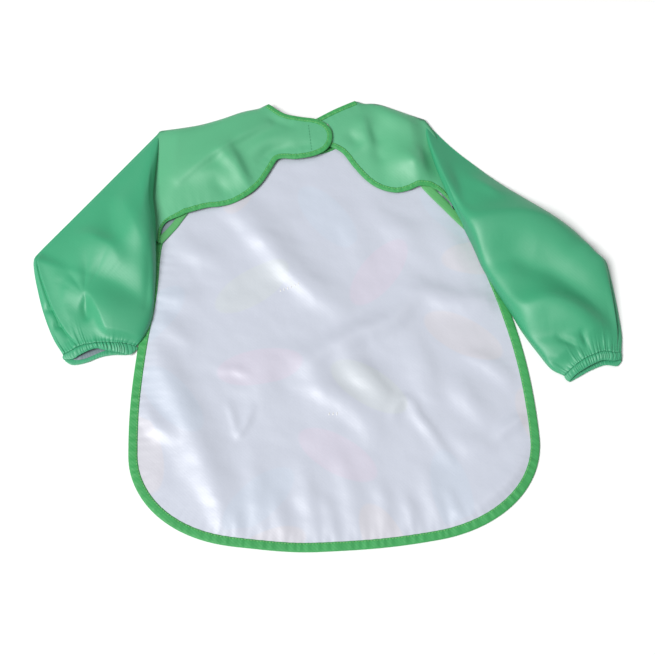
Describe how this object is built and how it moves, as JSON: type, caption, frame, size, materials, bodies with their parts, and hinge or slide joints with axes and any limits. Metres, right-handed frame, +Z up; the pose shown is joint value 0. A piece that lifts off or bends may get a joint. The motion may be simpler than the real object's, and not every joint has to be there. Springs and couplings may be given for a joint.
{
  "type": "long-sleeved child's smock apron",
  "caption": "Child's long-sleeved wipe-clean smock lying front down: rounded white panel with green binding, green sleeves with elastic cuffs, and back flaps that close with hook and loop.",
  "frame": {"origin": "on the surface that the smock lies on, under the middle of its box", "axes": "+Z up, out of the smock's back; +Y towards the neck; +X towards the sleeve on the right of the picture"},
  "size_m": [0.5826, 0.4827, 0.0315],
  "materials": {
    "panel_cloth": "satin white polyester, coated inside",
    "sleeve_cloth": "satin green polyester, grey coating inside",
    "binding_tape": "folded green polyester tape, topstitched",
    "hook_tape": "white nylon hooks",
    "loop_tape": "white brushed nylon loops",
    "thread": "sewing thread",
    "elastic": "covered elastic"
  },
  "bodies": {
    "garment": {"front_panel": "panel_cloth", "hem_binding": "binding_tape", "front_neck_binding": "binding_tape", "left_raglan_binding": "binding_tape", "right_raglan_binding": "binding_tape", "left_shoulder": "sleeve_cloth", "right_shoulder": "sleeve_cloth", "left_underarm_binding": "binding_tape", "right_underarm_binding": "binding_tape", "panel_bartacks": "thread"},
    "left_flap": {"left_back_flap": "sleeve_cloth", "left_flap_binding": "binding_tape", "hook_patch": "hook_tape", "hook_patch_stitching": "thread"},
    "right_flap": {"right_back_flap": "sleeve_cloth", "right_flap_binding": "binding_tape", "loop_patch": "loop_tape", "loop_patch_stitching": "thread"},
    "left_sleeve": {"left_sleeve": "sleeve_cloth", "left_cuff_casing": "sleeve_cloth", "left_cuff_elastic": "elastic"},
    "right_sleeve": {"right_sleeve": "sleeve_cloth", "right_cuff_casing": "sleeve_cloth", "right_cuff_elastic": "elastic"}
  },
  "joints": [
    {"name": "left_flap_open", "type": "hinge", "parent": "garment", "child": "left_flap", "pos_m": [-0.04508, 0.24125, 0.0139], "axis": [-0.6025, -0.7981, 0], "range_deg": [0, 150]},
    {"name": "right_flap_open", "type": "hinge", "parent": "garment", "child": "right_flap", "pos_m": [0.04692, 0.24125, 0.0105], "axis": [-0.6025, 0.7981, 0], "range_deg": [0, 97.5]},
    {"name": "left_sleeve_swing", "type": "hinge", "parent": "garment", "child": "left_sleeve", "pos_m": [-0.16079, 0.21813, 0.007], "axis": [0, 0, -1], "range_deg": [0, 45]},
    {"name": "right_sleeve_swing", "type": "hinge", "parent": "garment", "child": "right_sleeve", "pos_m": [0.11977, 0.21631, 0.007], "axis": [0, 0, 1], "range_deg": [0, 45]}
  ],
  "couplings": [
    {"joint": "right_flap_open", "follows": "left_flap_open", "ratio": 0.65}
  ]
}
